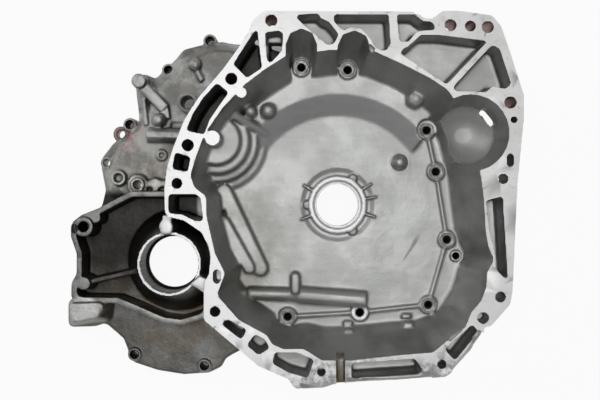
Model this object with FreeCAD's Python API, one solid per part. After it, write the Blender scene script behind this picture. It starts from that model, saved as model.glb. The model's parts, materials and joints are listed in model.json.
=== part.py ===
"""Converter housing of a transverse automatic transaxle, one die-cast aluminium piece.

The origin lies on the converter bore's axis, level with the bell's floor. +Z points
towards the engine, +Y is up on the standing unit, and the differential lies at -X.
All sizes are in millimetres. Cast forms have flat facets, so that the joints between
them stay sound. The bores and the engine's bolt holes are machined and truly round.
"""
import FreeCAD, Part
import math
import os

from FreeCAD import Vector

# Heights along the bore axis
bell_depth = 72.0
case_depth = 68.0
rim_depth = 46.0
rim_web = 8.0
deep_pocket_depth = 64.0
band_height = 27.0
roof_height = 42.0
sink = 1.5

# Walls and draft
bell_wall = 6.5
floor_wall = 7.0
case_wall = 7.0
rib_width = 5.0
pocket_draft = 1.2
corner_radius = 5.0
soft_turn = 20.0
facet_turn = 50.0
slot_steps = 4
small_sides = 12
ring_sides = 26
sweep_sides = 48
tube_sides = 8

# Converter bore and the ring round it
hub_radius = 34.0
hub_height = 3.0
hub_seat_radius = 28.5
hub_seat_depth = 3.0
hub_bore_radius = 25.0
hub_bore_length = 23.0
hub_relief_radius = 44.0
hub_relief_depth = 2.5
hub_tab_radius = 5.0
hub_tab_angles = (60.0, 180.0, -60.0)
hub_rib_angles = (150.0, 202.0, 32.0, 12.0, -18.0)
hub_rib_length = 13.0
hub_rib_height = 2.5

# Differential bore, its axis given from the converter axis
diff_x = -193.0
diff_y = -67.0
diff_ring_radius = 36.5
diff_ring_below_flange = 30.0
diff_seat_radius = 33.0
diff_seat_length = 42.0
diff_bore_radius = 30.0
diff_lip = 5.0
diff_cone_radius = 62.0
diff_core_radius = 54.0
diff_core_top_radius = 40.0

# Bell floor, ledge and starter pocket
ledge_height = 14.0
ledge_inner_radius = 130.0
disc_radius = 105.0
starter_x = 143.5
starter_y = 79.5
starter_radius = 42.5
starter_floor_radius = 30.0
starter_depth = 44.0
starter_dish = 7.0

# Bolt bosses inside the bell and on the case
bell_boss_radius = 10.5
bell_boss_height = 4.0
bell_bolt_radius = 4.9
case_boss_radius = 8.4
case_bolt_radius = 5.2
rib_line_width = 4.0
rib_line_height = 3.0

# Engine flange bolts
column_wall = 5.5
column_length = 60.0
main_bolt_radius = 6.5
side_bolt_radius = 5.75

flange_z = bell_depth
gearcase_z = -case_depth
rim_z = flange_z - rim_depth
pocket_z = rim_z + rim_web
deep_pocket_z = flange_z - deep_pocket_depth
band_z = gearcase_z + band_height
roof_z = gearcase_z + roof_height
ceiling_z = band_z - case_wall
roof_ceiling_z = roof_z - case_wall

# Outline of the engine flange, clockwise from the top left corner
flange_outline = [
    (-84, 214), (83, 213), (93, 205.5), (101, 205.5), (113, 214), (129, 214), (167, 209),
    (177, 197), (187, 168), (202, 121), (202, 96), (195, 24), (189.5, -95), (187, -109),
    (166, -133), (157.5, -135), (158.5, -141), (144, -161), (124, -183), (116, -189),
    (54.5, -194), (-4, -197), (-19, -202), (-42, -203), (-51.5, -201), (-56.5, -192),
    (-90.5, -177), (-101, -168), (-151, -126), (-150, -84), (-145, -77), (-143, -57),
    (-145, -46), (-153, -30), (-172, -17), (-193, -12), (-194, 17), (-191, 42),
    (-184, 64), (-172, 94), (-156, 119), (-130, 149), (-114, 171), (-101, 189),
    (-97, 203),
]

# The bell's mouth at the flange face and its foot at the floor, point for point
bell_outline = [
    ((-105, 133), (-93, 112)), ((-84, 149), (-74, 126)), ((-59, 165), (-50, 141)),
    ((-10, 171), (-8, 147)), ((36, 170), (32, 146)), ((67, 156), (60, 135)),
    ((98.5, 140), (88, 117)), ((118, 127), (104, 103)), ((143, 90), (120, 75)),
    ((155, 30), (131, 33)), ((158, 5), (134, 5)), ((160, -30), (139, -30)),
    ((163, -46), (145, -46)), ((169, -60), (151, -58)), ((161, -75), (142, -76)),
    ((160.6, -90), (139, -88)), ((155, -105), (133, -103)), ((144, -118), (125, -115)),
    ((137.5, -134), (119, -125)), ((116.5, -150), (104, -132)), ((102, -162), (92, -137)),
    ((65.5, -165), (62, -139)), ((12, -171), (12, -144)), ((-20, -171), (-16, -145)),
    ((-41, -158), (-36, -140)), ((-62, -158.5), (-56, -143)), ((-75, -153), (-70, -138)),
    ((-81, -143), (-76, -128)), ((-112, -126), (-98, -112)), ((-128, -108), (-110, -97)),
    ((-136, -99), (-118, -87)), ((-127, -75), (-113, -70)), ((-138, -53), (-124, -50)),
    ((-147, -14), (-134, -14)), ((-148, 10), (-136, 10)), ((-161, 20), (-142, 21)),
    ((-165, 33), (-146, 36)), ((-159, 53), (-141, 52)), ((-152, 72), (-134, 68)),
    ((-145, 85), (-128, 80)), ((-129, 108), (-113, 97)),
]

# Bolt recesses in the bell's upper wall: inner end, mouth end, foot end and half widths
bell_lobes = [
    ((-43, 140), (-43, 178), (-43, 160), 17.0, 13.0),
    ((13, 140), (15, 175), (11, 157), 18.0, 13.0),
]

# Bolt bosses on the bell's floor, in the order in which the thin rib joins them
ledge_bosses = [(-43, 160), (11, 157)]
floor_bosses = [(105, 88), (116, 39), (129, -41), (107, -118), (26, -127), (-59, -132)]
small_boss = (139, -60)
small_boss_radius = 6.5
small_boss_bore = 4.3

# Flange pockets whose floor shows
shallow_pockets = [
    [(-51, 209), (-24, 211), (-22, 206), (-12, 201), (-2, 188), (-7, 178), (-14, 176),
     (-27, 187), (-41, 199)],
    [(-7.6, 210), (53, 210), (55, 178), (51, 170.5), (45, 170), (37, 175), (34, 182),
     (22, 195), (12, 196), (3, 192), (-7, 202)],
    [(62, 210), (81, 210), (91, 202.5), (101, 201.5), (105.5, 193), (89, 192), (83, 190),
     (75, 180), (65, 180)],
    [(66, 167), (69, 172), (75, 175), (88, 187), (109.5, 187), (158.5, 181), (160.5, 179),
     (117, 133), (99, 144.5)],
    [(168, 176), (175, 172), (188, 133), (181, 128), (167, 131), (160.5, 124.5),
     (126, 126), (124, 130), (163.5, 173)],
    [(-125, -125), (-103, -137), (-109, -148), (-131, -131)],
    [(-94, -142), (-83, -148), (-78, -157), (-90, -165), (-103, -154)],
    [(-72, -162), (-48.5, -162), (-29, -170), (-36, -190), (-57, -184), (-75, -174)],
    [(12.5, -174), (82, -169), (90.5, -181), (88, -186), (12, -191)],
    [(160, 5), (179, 10), (179, -2), (184, -80), (180, -80), (171, -70), (171, -58),
     (168, -44), (164, -29)],
    [(145, -131), (152, -139), (126, -171), (115, -159), (121, -152), (139, -137)],
]

# Deep flange pockets on the differential side
deep_pockets = [
    [(-91.5, 192), (-86.5, 151), (-103, 140), (-118, 155), (-95, 191)],
    [(-83, 190), (-67, 192), (-63, 188), (-64.6, 170), (-76, 157), (-80.5, 158)],
    [(-136, 134.5), (-123, 124), (-134, 109), (-144, 94), (-150, 78), (-170, 82),
     (-162, 101), (-151, 118)],
    [(-178, 57), (-165, 53), (-168, 36.5), (-185, 40), (-182, 57)],
    [(-189, 12), (-159, 12), (-154, 8), (-151, -18), (-160, -17), (-175, -10), (-189, -9)],
]
pocket_shelf = [(-85, 182.5), (-60, 182.5), (-60, 194), (-85, 194)]
pocket_shelf_below_flange = 27.0

# Holes in the flange face: place, radius and depth
main_bolts = [(-76, 203), (-120, 139), (187, 113), (-168, 66)]
side_bolts = [(176, -101), (-138, -117), (-180, 24), (143, 197)]
top_bolts = [(121, 198), (162, 196)]
blind_holes = [((157, -124), 6.4), ((111.5, -175), 5.0), ((-21, -183.5), 4.6), ((191, 94), 3.6)]
blind_depth = 28.0
through_holes = [((179, 29), 5.6)]
slot_holes = [((187, 53), (187, 46), 3.8), ((-136, -82), (-136, -75), 4.3)]
side_ear = (-169, 113.5)
side_ear_radius = 12.2
side_ear_bore = 6.9
side_ear_length = 36.0

# Ejector pads beside the flange: place, radius and how far below the flange they start
flange_pads = [((-141, 74), 8.5, 72.0), ((-109, 124), 6.0, 30.0), ((170, 123), 7.3, 40.0)]

# Broken edges of the flange: outline and depth of what is gone
broken_edges = [
    ([(6, -189.6), (40, -188.2), (82, -184.6), (99, -182.5), (103, -200), (6, -204)], 3.2),
    ([(18, -190.5), (34, -189.6), (41, -193), (58, -192), (61, -200), (16, -200)], 5.5),
    ([(148, -146), (138, -160), (127, -173), (121, -178), (127, -190), (164, -150)], 4.2),
    ([(152, -137), (143, -152), (149, -158), (161, -143)], 7.0),
    ([(134.5, -137.5), (121, -150), (118, -148), (131, -134)], 2.2),
    ([(-44, -196), (-22, -199), (-8, -194), (-2, -204), (-46, -210)], 2.6),
    ([(32.5, 178), (38, 172.5), (36.5, 168), (30, 172)], 4.0),
    ([(82.5, 208), (87, 211.5), (88, 216), (80, 216)], 5.0),
]

# Outline of the case at the gearcase joint, clockwise from above the bell
case_outline = [
    (-43, 173), (11, 171), (45, 155), (80, 126), (105, 101), (118, 92), (129, 40),
    (142, -38), (149, -63), (121, -119), (107, -131), (26, -142), (-59, -146),
    (-95, -168), (-128, -185), (-136, -190), (-141, -200), (-156, -207), (-187, -209.3),
    (-220, -204), (-250, -194), (-257, -178), (-262, -165), (-284, -146), (-296, -150),
    (-326, -151), (-330, -147), (-330, -120), (-317, -107), (-316, -90), (-310, -82),
    (-310, -58), (-321, -40), (-325, -27), (-319, -16), (-302, -10), (-289, -3),
    (-284, 18), (-289, 44), (-288, 58), (-275, 75), (-242, 97), (-244, 120),
    (-246, 134), (-248, 158), (-236, 161), (-221, 155), (-213, 161), (-200, 176),
    (-188, 191), (-169, 196), (-140, 201), (-121, 196),
]
rear_core = [
    (-40, 160), (12, 158), (40, 141), (72, 117), (103, 82), (117, 40), (130, -45),
    (111, -111), (99, -119), (26, -129), (-72, -138), (-125, -172), (-145, -190),
    (-190, -199), (-238, -187), (-252, -158), (-285, -132), (-302, -100), (-301, -26),
    (-276, -2), (-273, 20), (-278, 48), (-262, 70), (-232, 90), (-230, 125), (-212, 150),
    (-185, 178), (-150, 188), (-100, 180),
]
bell_core = [
    (-40, 160), (12, 158), (40, 141), (72, 117), (103, 82), (117, 40), (130, -45),
    (111, -111), (99, -119), (26, -129), (-72, -130), (-106, -95), (-122, -50),
    (-124, 20), (-122, 70), (-90, 115), (-62, 148),
]
roof_outline = [
    (-112, 186), (-150, 188), (-188, 172), (-222, 140), (-230, 100), (-262, 66),
    (-274, 45), (-270, 16), (-240, 8), (-170, 12), (-150, 80),
]
bowl_outline = [
    (-246, 16), (-284, -4), (-304, -12), (-317, -22), (-317, -38), (-310, -58),
    (-310, -82), (-316, -92), (-317, -116), (-262, -117), (-240, -126), (-208, -140),
    (-185, -143), (-158, -135), (-146, -120), (-140, -60), (-150, 10), (-190, 16),
]
bowl_wall = 7.0
bowl_height = 38.0
bowl_floor_z = band_z + 2.0

# Mounting foot at the bowl's lower left: outline at the band, at its face and its rise above the bowl
foot_outline = [(-329, -119), (-272, -117), (-275, -143), (-328, -150)]
foot_face = [(-318, -116), (-272, -115), (-285, -135), (-316, -140)]
foot_rise = 6.0

# Bosses of the gearcase joint outside the bell: place and top above the band
case_bosses = [
    ((-155, 201), 4.0), ((-206, 165), 4.0), ((-253, 98), 6.0), ((-268, 32), 8.0),
    ((-240, 24), 26.0), ((-312, -28), 20.0), ((-248, -184), 3.0), ((-162, -198), 3.0),
]

# Ears of the gearcase joint: place, radius and height
case_lugs = [((-265.5, 87), 9.9, 21.0), ((-281, 51), 9.0, 15.0)]
case_lug_lift = 4.0

# Sector of the bell's floor that the raised ledge covers
ledge_outline = [(-140, 60), (-100, 150), (0, 185), (115, 130), (100, 78), (86, 60), (-60, 60)]

# Plain posts: place, foot radius, top radius and top height
floor_posts = [((73, 50), 11.0, 10.0, 1.5), ((-101.5, 84), 9.0, 7.0, 3.0)]
case_posts = [
    ((-240.5, 24), 13.5, 12.9, roof_z + 8), ((-171.5, 169.7), 8.0, 7.4, roof_z + 5),
    ((-238.5, 149), 10.0, 9.0, roof_z + 12), ((-219, 25), 8.5, 7.5, roof_z + 7),
]
bowl_posts = [((-301.5, -93.5), 9.0, 8.0, 1.0), ((-288, -15), 8.0, 7.0, 1.0)]

# Domed posts: place, radius and top of the straight part
floor_domes = [((-101.5, 108), 7.0, 28.0), ((-81.5, 109), 9.0, 26.0), ((-110.5, -103.5), 5.0, 14.0)]
case_domes = [((-214.7, 102), 8.5, roof_z + 9)]

# Gallery tubes: start, end and radius
floor_tubes = [
    ((-122, 104, 34), (-84, 84, 3), 6.0), ((-106, -104, 3), (-38, -106.5, 3), 7.5),
    ((-48, -106, 2), (34, -112, 1), 10.0),
]
case_tubes = [((-229, 84.6, roof_z + 6), (-176, 83, roof_z + 6), 9.2)]

# Round-ended ribs: start, end, half width and top height
floor_ribs = [
    ((-134, 16), (-91, -75), 9.0, 9.0), ((-134, -20), (-104, -74), 7.0, 14.0),
    ((-50, -100), (-50, -84), 5.0, 16.0),
]

# Straight ribs: start, end, width and top height
case_ribs = [
    ((-233, 25), (-190, 26), 9.0, roof_z + 6), ((-171.5, 166), (-163, 150), 6.0, roof_z + 3),
    ((-238, 147), (-208, 116), 13.0, roof_z + 7), ((-208, 118), (-206, 104), 9.0, roof_z + 5),
    ((-236, 141), (-231, 96), 6.0, roof_z + 3), ((-200, 96), (-176, 96), 6.0, roof_z + 3),
]
bowl_ribs = [
    ((-288, -10), (-246, 16), 6.0, 0.0), ((-298, -92.5), (-227, -76), 6.0, -7.0),
]

# Square boss and small pads inside the bell: outline at the foot, lean inwards and top height
square_boss = [(83, 118), (102, 118), (102, 137), (83, 137)]
square_boss_height = 30.0
wall_pads = [((12, -140), 5.0), ((12, -148), 17.0), ((81, -131.5), 5.0), ((82, -140), 17.0)]
wall_pad_length = 11.0
wall_pad_width = 6.0

# Stepped round boss in the bell's upper left corner: radius and height of each step
terrace_centre = (-141, 74)
terrace_steps = [(28.0, 38.0), (38.0, 26.0), (47.0, 14.0), (56.0, 4.0)]
terrace_lean = 3.0

# Webs that tie the differential ring to the flange: outline and top height
ring_links = [
    ([(-201, -34), (-201, -12), (-188, -12), (-188, -34)], 43.0),
    ([(-168, -92), (-158, -98), (-140, -98), (-140, -80), (-160, -80)], 50.0),
]
ring_pad = ((-195.5, -24), 8.5, 44.0)

# Slotted window in the starter pocket's wall, and a cored hole in the bell's lower left wall
starter_window = ((164.5, 105), (173.5, 94), 4.2)
starter_window_top = 62.0
wall_hole = ((-124, -99.5), 5.5, 6.0)

# Stiffening webs behind the flange and the drain groove across it
gusset_angles = (96.0, 66.0, 47.0, 14.0, -8.0, -34.0, -62.0, -85.0, -103.0)
gusset_start = 110.0
gusset_reach = 172.0
drain_groove_width = 9.3
drain_groove_depth = 5.0
drain_groove_left = -4.3
drain_groove_end = -165.0


def turn_at(points, index):
    """Angle in degrees by which the outline turns at a corner."""
    before = points[index - 1]
    here = points[index]
    after = points[(index + 1) % len(points)]
    first = math.atan2(here[1] - before[1], here[0] - before[0])
    second = math.atan2(after[1] - here[1], after[0] - here[0])
    return math.degrees((second - first + math.pi) % (2 * math.pi) - math.pi)


def grow(points, distance):
    """Outline moved outwards by a distance, corner by corner."""
    doubled = sum(
        points[i - 1][0] * points[i][1] - points[i][0] * points[i - 1][1]
        for i in range(len(points))
    )
    side = -1.0 if doubled > 0 else 1.0
    moved = []
    for i, here in enumerate(points):
        before = Vector(*points[i - 1], 0)
        after = Vector(*points[(i + 1) % len(points)], 0)
        corner = Vector(*here, 0)
        first = (corner - before).normalize()
        second = (after - corner).normalize()
        normal = Vector(-first.y - second.y, first.x + second.x, 0)
        reach = 2.0 / max(normal.Length ** 2, 1.0)
        moved.append((here[0] + side * normal.x * reach * distance,
                      here[1] + side * normal.y * reach * distance))
    return moved


def rounded(points, height, radius, like=None):
    """Corners of an outline at a height, rounded in short facets where it turns clearly."""
    pattern = like or points
    count = len(points)
    loop = []
    for i in range(count):
        corner = Vector(*points[i], height)
        before = Vector(*points[i - 1], height) - corner
        after = Vector(*points[(i + 1) % count], height) - corner
        turn = abs(turn_at(pattern, i))
        if radius <= 0 or turn < soft_turn:
            loop.append(corner)
            continue
        half = before.getAngle(after) / 2
        reach = min(radius / math.tan(half), 0.42 * before.Length, 0.42 * after.Length)
        start = corner + before.normalize() * reach
        stop = corner + after.normalize() * reach
        inward = ((start + stop) * 0.5 - corner).normalize()
        centre = corner + inward * (reach / math.cos(half))
        sweep = math.pi - 2 * half
        steps = max(1, round(turn / facet_turn))
        for step in range(steps + 1):
            share = step / steps
            loop.append(centre + (start - centre) * (math.sin((1 - share) * sweep) / math.sin(sweep))
                        + (stop - centre) * (math.sin(share * sweep) / math.sin(sweep)))
    return loop


def flat_face(corners):
    """Face inside a closed run of corners in one plane."""
    return Part.Face(Part.makePolygon(corners + [corners[0]]))


def skin(loops):
    """Solid through outlines that match corner for corner, with flat facets between them."""
    faces = [flat_face(loops[0]), flat_face(loops[-1])]
    for lower, upper in zip(loops, loops[1:]):
        for i in range(len(lower)):
            one, two, three, four = lower[i - 1], lower[i], upper[i], upper[i - 1]
            normal = (two - one).cross(four - one).normalize()
            if abs((three - one).dot(normal)) < 1e-7:
                faces.append(flat_face([one, two, three, four]))
            else:
                faces.append(flat_face([one, two, three]))
                faces.append(flat_face([one, three, four]))
    return Part.makeSolid(Part.makeShell(faces))


def prism(points, low, high, radius=corner_radius):
    """Straight block on a rounded outline between two heights."""
    return flat_face(rounded(points, low, radius)).extrude(Vector(0, 0, high - low))


def drafted(low_points, high_points, low, high, radius=corner_radius):
    """Block between two outlines that match corner for corner."""
    return skin([rounded(low_points, low, radius, high_points), rounded(high_points, high, radius)])


def pocket(points, low, high):
    """Pocket cutter whose walls lean in by the casting's draft."""
    return drafted(grow(points, -pocket_draft), points, low, high, 3.0)


def ring_loop(x, y, radius, height, sides):
    """Corners of a regular outline round a centre."""
    turns = [2 * math.pi * (step + 0.5) / sides for step in range(sides)]
    return [Vector(x + radius * math.cos(turn), y + radius * math.sin(turn), height) for turn in turns]


def stacked(place, profile, sides):
    """Many-sided round form through radius and height pairs, from the foot up."""
    return skin([ring_loop(*place, radius, height, sides) for radius, height in profile])


def post(place, radius, low, high, top_radius=None, sides=small_sides):
    """Round post or cored hole."""
    return stacked(place, [(radius, low), (top_radius or radius, high)], sides)


def domed(place, radius, low, high):
    """Round post with a domed end."""
    profile = [(radius, low), (radius, high), (0.86 * radius, high + 0.5 * radius),
               (0.45 * radius, high + 0.88 * radius)]
    return stacked(place, profile, small_sides)


def drill(place, radius, low, high):
    """Truly round upright hole."""
    return Part.makeCylinder(radius, high - low, Vector(*place, low))


def bar(start, end, width, low, high):
    """Straight rib of a width between two points."""
    along = Vector(end[0] - start[0], end[1] - start[1], 0).normalize()
    side = Vector(-along.y, along.x, 0) * (width / 2)
    corners = [
        (start[0] + side.x, start[1] + side.y), (end[0] + side.x, end[1] + side.y),
        (end[0] - side.x, end[1] - side.y), (start[0] - side.x, start[1] - side.y),
    ]
    return prism(corners, low, high, 0)


def slot_loop(start, end, radius, height):
    """Corners of a round-ended slot at a height."""
    along = math.atan2(end[1] - start[1], end[0] - start[0])
    loop = []
    for middle, first in ((end, along - math.pi / 2), (start, along + math.pi / 2)):
        for step in range(slot_steps + 1):
            angle = first + math.pi * step / slot_steps
            loop.append(Vector(middle[0] + radius * math.cos(angle),
                               middle[1] + radius * math.sin(angle), height))
    return loop


def slot(start, end, radius, low, high):
    """Round-ended slot or rib."""
    return skin([slot_loop(start, end, radius, low), slot_loop(start, end, radius, high)])


def tube(start, end, radius):
    """Many-sided tube form between two points in space."""
    one = Vector(*start)
    two = Vector(*end)
    along = (two - one).normalize()
    side = along.cross(Vector(0, 0, 1)).normalize()
    rise = side.cross(along)
    turns = [2 * math.pi * (step + 0.5) / tube_sides for step in range(tube_sides)]
    rim = [side * (radius * math.cos(turn)) + rise * (radius * math.sin(turn)) for turn in turns]
    return skin([[one + point for point in rim], [two + point for point in rim]])


def polar(radius, angle):
    """Point at a radius and an angle in degrees about the converter axis."""
    return (radius * math.cos(math.radians(angle)), radius * math.sin(math.radians(angle)))


def bell_form(gap, low, high):
    """Tapered form of the bell's inside, widened by a gap, between two heights."""
    mouth = grow([pair[0] for pair in bell_outline], gap)
    foot = grow([pair[1] for pair in bell_outline], gap)
    low_points = []
    high_points = []
    for upper, lower in zip(mouth, foot):
        slope_x = (upper[0] - lower[0]) / bell_depth
        slope_y = (upper[1] - lower[1]) / bell_depth
        low_points.append((lower[0] + slope_x * low, lower[1] + slope_y * low))
        high_points.append((lower[0] + slope_x * high, lower[1] + slope_y * high))
    return drafted(low_points, high_points, low, high)


def lobe_form(lobe, gap, low, high):
    """One bolt recess of the upper wall, widened by a gap."""
    inner, mouth, foot, mouth_width, foot_width = lobe
    return skin([slot_loop(inner, foot, foot_width + gap, low),
                 slot_loop(inner, mouth, mouth_width + gap, high)])


def starter_form(gap, high):
    """Cup in which the starter motor's nose turns, widened by a gap."""
    edge_z = flange_z - starter_depth
    return stacked((starter_x, starter_y), [
        (starter_floor_radius * 0.6, edge_z - starter_dish - gap), (starter_floor_radius + gap, edge_z),
        (starter_radius + gap, flange_z), (starter_radius + gap, high),
    ], ring_sides)


def gusset(angle):
    """Stiffening web behind the flange, from the bell's wall out under the rim."""
    inner = polar(gusset_start, angle)
    outer = polar(gusset_reach, angle)
    corners = [Vector(*inner, -floor_wall), Vector(*outer, rim_z), Vector(*outer, rim_z + sink),
               Vector(*inner, rim_z + sink)]
    side = Vector(-math.sin(math.radians(angle)), math.cos(math.radians(angle)), 0) * rib_width
    web = flat_face(corners).extrude(side)
    web.translate(side * -0.5)
    return web


def bell_body():
    """Flange rim, bell wall, lobes and starter cup before they are hollowed."""
    under_face = flange_z - sink
    low = flange_z - column_length
    rim = prism(flange_outline, rim_z, flange_z)
    over_case = prism(case_outline, band_z - 2 * sink, rim_z + 2 * sink)
    lower_rim = prism(flange_outline, band_z - sink, rim_z + sink).common(over_case)
    shell = bell_form(bell_wall, -floor_wall, under_face)
    lobes = [lobe_form(lobe, bell_wall, ledge_height - bell_wall, under_face) for lobe in bell_lobes]
    cup = starter_form(bell_wall, flange_z + 2 * sink)
    cup = cup.common(prism(flange_outline, -floor_wall, under_face))
    inside_edge = prism(flange_outline, low, under_face)
    columns = [
        post(place, radius + column_wall, low, under_face).common(inside_edge)
        for group, radius in ((main_bolts, main_bolt_radius), (side_bolts, side_bolt_radius))
        for place in group
    ]
    ear = post(side_ear, side_ear_radius, flange_z - side_ear_length, under_face)
    gussets = [gusset(angle) for angle in gusset_angles]
    return [rim, lower_rim, shell, cup, ear] + lobes + columns + gussets


def case_body():
    """Gearcase flange, the roof over the gears and the bowl round the differential bore."""
    band = prism(case_outline, gearcase_z, band_z)
    bell_side = prism(grow(bell_core, 11), gearcase_z + sink, -floor_wall + sink, 12)
    roof = drafted(grow(roof_outline, 12), roof_outline, band_z - sink, roof_z, 14)
    bowl = prism(bowl_outline, band_z - sink, band_z + bowl_height, 8)
    foot = drafted(foot_outline, foot_face, band_z - sink, band_z + bowl_height + foot_rise)
    tower = diff_tower()
    return [band, bell_side, roof, bowl, foot, tower]


def case_features():
    """Bosses, lugs, ribs and the gallery tube on the outside of the case."""
    parts = [post(place, case_boss_radius + 0.6, gearcase_z + sink, band_z + rise, case_boss_radius)
             for place, rise in case_bosses]
    parts += [post(place, radius, gearcase_z + case_lug_lift, gearcase_z + case_lug_lift + height)
              for place, radius, height in case_lugs]
    parts += [post(place, foot, band_z, high, top) for place, foot, top, high in case_posts]
    parts += [domed(place, radius, roof_z - sink, high) for place, radius, high in case_domes]
    parts += [tube(start, end, radius) for start, end, radius in case_tubes]
    parts += [bar(start, end, width, band_z - sink, high) for start, end, width, high in case_ribs]
    return parts


def diff_tower():
    """Ring and cone that carry the differential's bearing."""
    top = flange_z - diff_ring_below_flange
    return stacked((diff_x, diff_y), [
        (diff_cone_radius, ceiling_z), (diff_cone_radius, bowl_floor_z),
        (diff_cone_radius - 14, bowl_floor_z + 32), (diff_ring_radius, bowl_floor_z + 52),
        (diff_ring_radius, top),
    ], ring_sides)


def diff_hollow():
    """Bearing seat, seal lip and the conical core behind them."""
    place = (diff_x, diff_y)
    lip_z = flange_z - diff_ring_below_flange - diff_seat_length
    below = lip_z - diff_lip
    seat = drill(place, diff_seat_radius, lip_z, flange_z)
    bore = drill(place, diff_bore_radius, below - sink, lip_z + sink)
    core = stacked(place, [
        (diff_core_radius, gearcase_z - sink), (diff_core_radius, ceiling_z),
        (diff_core_top_radius, below - 9), (diff_core_top_radius, below),
    ], ring_sides)
    return [seat, bore, core]


def hub_hollow():
    """Seal seat and through bore of the converter hub."""
    seat = drill((0, 0), hub_seat_radius, hub_height - hub_seat_depth, hub_height + sink)
    bore = drill((0, 0), hub_bore_radius, gearcase_z - sink, hub_height)
    return [seat, bore]


def hub_metal():
    """Ring, tabs and short ribs of the converter bore, which stand in its shallow relief."""
    ring = post((0, 0), hub_radius, -floor_wall, hub_height, sides=ring_sides)
    tabs = [
        post(polar(hub_radius + 2, angle), hub_tab_radius, -floor_wall, hub_height - 1)
        for angle in hub_tab_angles
    ]
    ribs = [
        bar(polar(hub_seat_radius + sink, angle), polar(hub_radius + hub_rib_length, angle),
            2.0, -floor_wall, hub_rib_height)
        for angle in hub_rib_angles
    ]
    return [ring] + tabs + ribs


def ledge():
    """Raised crescent over the upper floor, cut back to the converter's sweep."""
    sector = prism(ledge_outline, -sink, ledge_height, 4)
    lean = (ledge_inner_radius - disc_radius) / ledge_height
    sweep = stacked((0, 0), [
        (disc_radius - 2 * sink * lean, -2 * sink),
        (ledge_inner_radius + sink * lean, ledge_height + sink),
    ], sweep_sides)
    return sector.cut(sweep)


def floor_metal():
    """Everything that stands on the bell's floor or along its wall."""
    parts = [ledge()] + hub_metal()
    parts += [post(terrace_centre, radius + terrace_lean, -sink, height, radius, ring_sides)
              for radius, height in terrace_steps]
    parts += [post(place, radius, flange_z - reach, flange_z) for place, radius, reach in flange_pads]
    seat = ledge_height + bell_boss_height
    parts += [post(place, bell_boss_radius + 1, -sink, seat, bell_boss_radius) for place in ledge_bosses]
    parts += [post(place, bell_boss_radius + 1, -sink, bell_boss_height, bell_boss_radius)
              for place in floor_bosses]
    parts.append(post(small_boss, small_boss_radius, -sink, bell_boss_height + 2))
    parts += [bar(start, end, rib_line_width, -sink, rib_line_height)
              for start, end in zip(floor_bosses, floor_bosses[1:])]
    parts += [post(place, foot, -sink, high, top) for place, foot, top, high in floor_posts]
    parts += [domed(place, radius, -sink, high) for place, radius, high in floor_domes]
    parts += [tube(start, end, radius) for start, end, radius in floor_tubes]
    parts += [slot(start, end, radius, -sink, high) for start, end, radius, high in floor_ribs]
    parts.append(drafted(square_boss, grow(square_boss, -2), -sink, square_boss_height, 2))
    parts += [bar((x - wall_pad_length / 2, y), (x + wall_pad_length / 2, y), wall_pad_width, -sink, high)
              for (x, y), high in wall_pads]
    return parts


def bell_air():
    """Room inside the bell, its lobes and the starter cup, round everything that stands in it."""
    high = flange_z + sink
    relief = post((0, 0), hub_relief_radius - 2 * hub_relief_depth, -hub_relief_depth, sink,
                  hub_relief_radius + 2 * sink, ring_sides)
    parts = [lobe_form(lobe, 0, ledge_height, high) for lobe in bell_lobes]
    room = bell_form(0, 0, high).fuse(parts + [starter_form(0, high), relief])
    return room.cut(floor_metal())


def bowl_air():
    """Room in the bowl round the differential's tower."""
    room = prism(grow(bowl_outline, -bowl_wall), bowl_floor_z, flange_z, 8)
    solid = [diff_tower(), prism(flange_outline, band_z, flange_z + sink)]
    solid += [prism(points, bowl_floor_z - sink, high, 2) for points, high in ring_links]
    solid.append(post(ring_pad[0], ring_pad[1], bowl_floor_z - sink, ring_pad[2]))
    solid += [post(place, foot, bowl_floor_z - sink, high, top) for place, foot, top, high in bowl_posts]
    solid += [bar(start, end, width, bowl_floor_z - sink, high) for start, end, width, high in bowl_ribs]
    return room.cut(solid)


def rear_air():
    """Room behind the bell's floor and over the gears, round the bolt bosses."""
    low = gearcase_z - sink
    core = prism(rear_core, low, ceiling_z, 0)
    behind_bell = prism(bell_core, low, -floor_wall, 0)
    gears = drafted(roof_outline, grow(roof_outline, -9), ceiling_z - sink, roof_ceiling_z, 12)
    bosses = [post(place, case_boss_radius + 1, low - sink, 0)
              for place in ledge_bosses + floor_bosses + [small_boss]]
    bosses += [post(place, case_boss_radius, low - sink, 0) for place, rise in case_bosses]
    bosses.append(post((0, 0), hub_radius, hub_height - hub_bore_length, 0, sides=ring_sides))
    return core.fuse([behind_bell, gears]).cut(bosses)


def flange_cuts():
    """Pockets, drain groove and broken edges of the engine flange."""
    high = flange_z + sink
    shelf = prism(pocket_shelf, gearcase_z, flange_z - pocket_shelf_below_flange, 0)
    pad = post(flange_pads[-1][0], flange_pads[-1][1], 0, high + sink)
    cuts = [pocket(points, pocket_z, high).cut(pad) for points in shallow_pockets]
    cuts += [pocket(points, deep_pocket_z, high).cut(shelf) for points in deep_pockets]
    edge_y = min(y for x, y in flange_outline) - sink
    groove = Part.makeBox(drain_groove_width, drain_groove_end - edge_y, drain_groove_depth + sink,
                          Vector(drain_groove_left, edge_y, flange_z - drain_groove_depth))
    cuts.append(groove)
    cuts += [prism(points, flange_z - depth, high, 0) for points, depth in broken_edges]
    return cuts


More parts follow.
